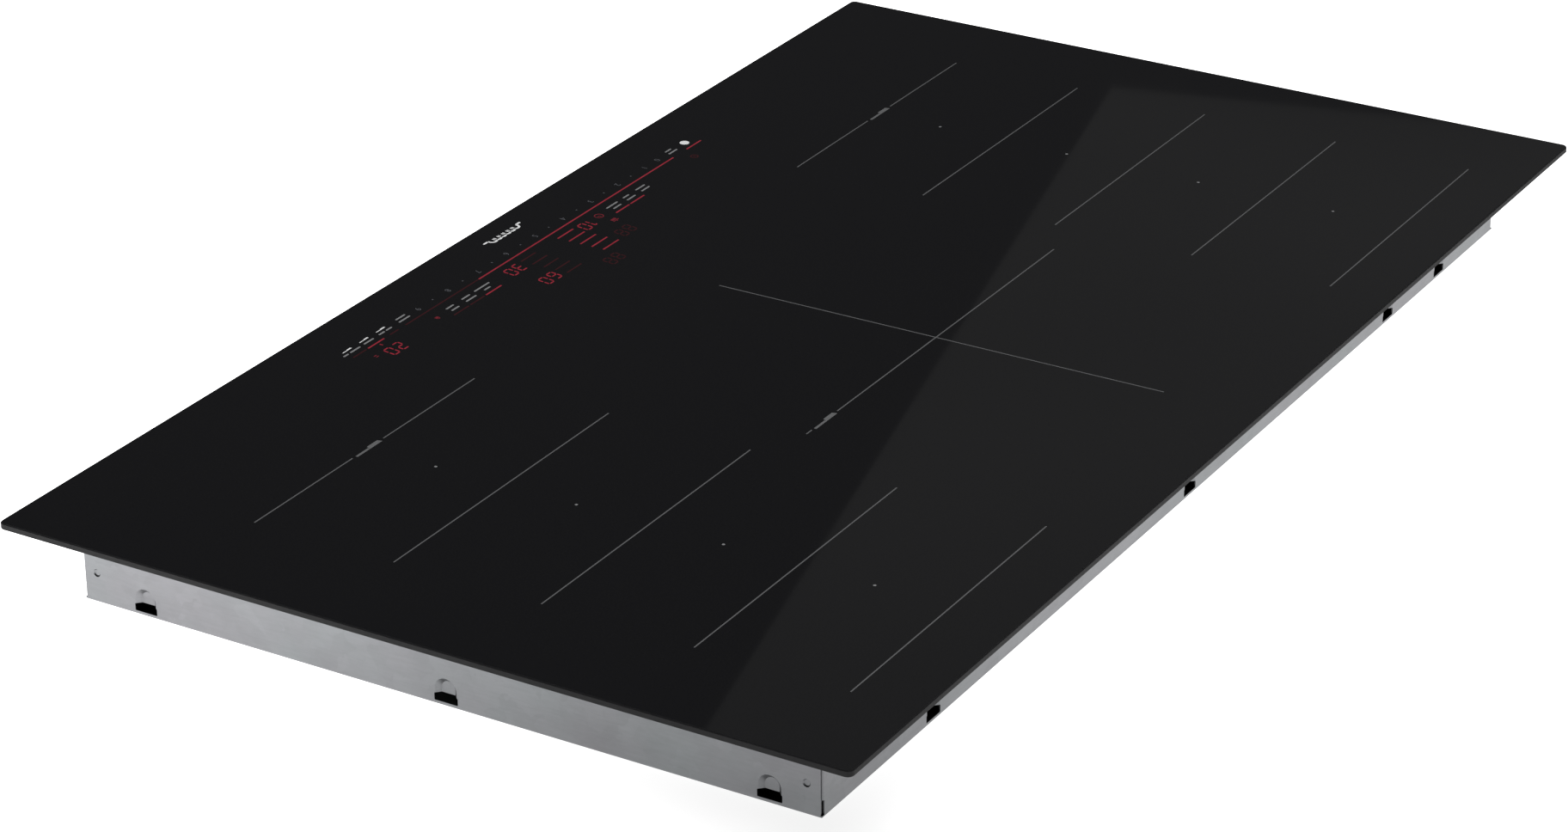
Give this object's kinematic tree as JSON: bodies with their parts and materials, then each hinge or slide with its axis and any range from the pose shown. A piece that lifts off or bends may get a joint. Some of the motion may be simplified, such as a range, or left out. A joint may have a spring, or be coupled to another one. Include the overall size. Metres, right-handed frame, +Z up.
{
  "type": "electric induction cooktop",
  "caption": "Built-in electric induction cooktop: a black ceramic-glass plate with touch controls over a shallow folded-steel casing with coils, blowers and power electronics.",
  "frame": {"origin": "centre of the footprint on the plane of the casing's underside", "axes": "+X is the user's right, +Y the back (away from the touch controls), +Z up"},
  "size_m": [0.9398, 0.5398, 0.0554],
  "materials": {
    "black_glass": "gloss",
    "foam_seal": "matte",
    "silicone": "satin",
    "galvanised_sheet": "satin",
    "zinc_screw": "satin",
    "steel_bushing": "satin",
    "post_plastic": "matte",
    "green_board": "satin",
    "component_plastic": "matte",
    "capacitor_plastic": "gloss",
    "terminal_plastic": "matte",
    "carrier_plastic": "matte",
    "display_plastic": "gloss",
    "light_guide": "gloss",
    "cable_sheath": "satin",
    "carrier_aluminium": "satin",
    "ferrite": "matte",
    "mica": "satin",
    "sensor_ceramic": "satin",
    "spring_steel": "satin",
    "lead_sheath": "matte",
    "copper_winding": "satin",
    "fan_plastic": "matte",
    "motor_steel": "satin",
    "sink_aluminium": "satin"
  },
  "bodies": {
    "casing": {"base_screws": "zinc_screw", "base_tray": "galvanised_sheet", "board_standoffs": "post_plastic", "control_board": "green_board", "control_carrier": "carrier_plastic", "control_ribbon": "cable_sheath", "digit_displays": "display_plastic", "filter_board": "green_board", "filter_parts": "component_plastic", "frame_brackets": "galvanised_sheet", "glass_adhesive": "silicone", "glass_top": "black_glass", "inlet_bushing": "steel_bushing", "left_capacitors": "capacitor_plastic", "left_fan_housing": "fan_plastic", "left_fan_motor": "motor_steel", "left_heat_sink": "sink_aluminium", "left_power_board": "green_board", "left_transistors": "component_plastic", "light_guides": "light_guide", "right_capacitors": "capacitor_plastic", "right_fan_housing": "fan_plastic", "right_fan_motor": "motor_steel", "right_heat_sink": "sink_aluminium", "right_power_board": "green_board", "right_transistors": "component_plastic", "spring_seats": "post_plastic", "support_frame": "galvanised_sheet", "terminal_block": "terminal_plastic", "worktop_seal": "foam_seal"},
    "left_coil_module": {"left_coil_1": "copper_winding", "left_coil_2": "copper_winding", "left_coil_3": "copper_winding", "left_coil_4": "copper_winding", "left_coil_carrier": "carrier_aluminium", "left_coil_ferrites": "ferrite", "left_coil_insulation": "mica", "left_coil_leads": "lead_sheath", "left_coil_sensors": "sensor_ceramic", "left_coil_springs": "spring_steel"},
    "right_coil_module": {"right_coil_1": "copper_winding", "right_coil_2": "copper_winding", "right_coil_3": "copper_winding", "right_coil_4": "copper_winding", "right_coil_carrier": "carrier_aluminium", "right_coil_ferrites": "ferrite", "right_coil_insulation": "mica", "right_coil_leads": "lead_sheath", "right_coil_sensors": "sensor_ceramic", "right_coil_springs": "spring_steel"},
    "centre_coil_module": {"centre_coil_carrier": "carrier_aluminium", "centre_coil_ferrites": "ferrite", "centre_coil_inner": "copper_winding", "centre_coil_insulation": "mica", "centre_coil_leads": "lead_sheath", "centre_coil_outer": "copper_winding", "centre_coil_sensors": "sensor_ceramic", "centre_coil_springs": "spring_steel"},
    "left_fan_rotor": {"left_fan_impeller": "fan_plastic"},
    "right_fan_rotor": {"right_fan_impeller": "fan_plastic"}
  },
  "joints": [
    {"name": "left_fan_spin", "type": "hinge", "parent": "casing", "child": "left_fan_rotor", "pos_m": [-0.115, 0.02, 0.0124], "axis": [0, 0, 1], "continuous": true},
    {"name": "right_fan_spin", "type": "hinge", "parent": "casing", "child": "right_fan_rotor", "pos_m": [0.115, 0.02, 0.0124], "axis": [0, 0, 1], "continuous": true},
    {"name": "left_coil_press", "type": "slide", "parent": "casing", "child": "left_coil_module", "axis": [0, 0, 1], "range_m": [-0.0025, 0], "stiffness_N_per_m": 12000, "springref_m": 0.004, "deforming": ["left_coil_springs", "left_coil_leads"]},
    {"name": "centre_coil_press", "type": "slide", "parent": "casing", "child": "centre_coil_module", "axis": [0, 0, 1], "range_m": [-0.0025, 0], "stiffness_N_per_m": 12000, "springref_m": 0.004, "deforming": ["centre_coil_springs", "centre_coil_leads"]},
    {"name": "right_coil_press", "type": "slide", "parent": "casing", "child": "right_coil_module", "axis": [0, 0, 1], "range_m": [-0.0025, 0], "stiffness_N_per_m": 12000, "springref_m": 0.004, "deforming": ["right_coil_springs", "right_coil_leads"]}
  ]
}
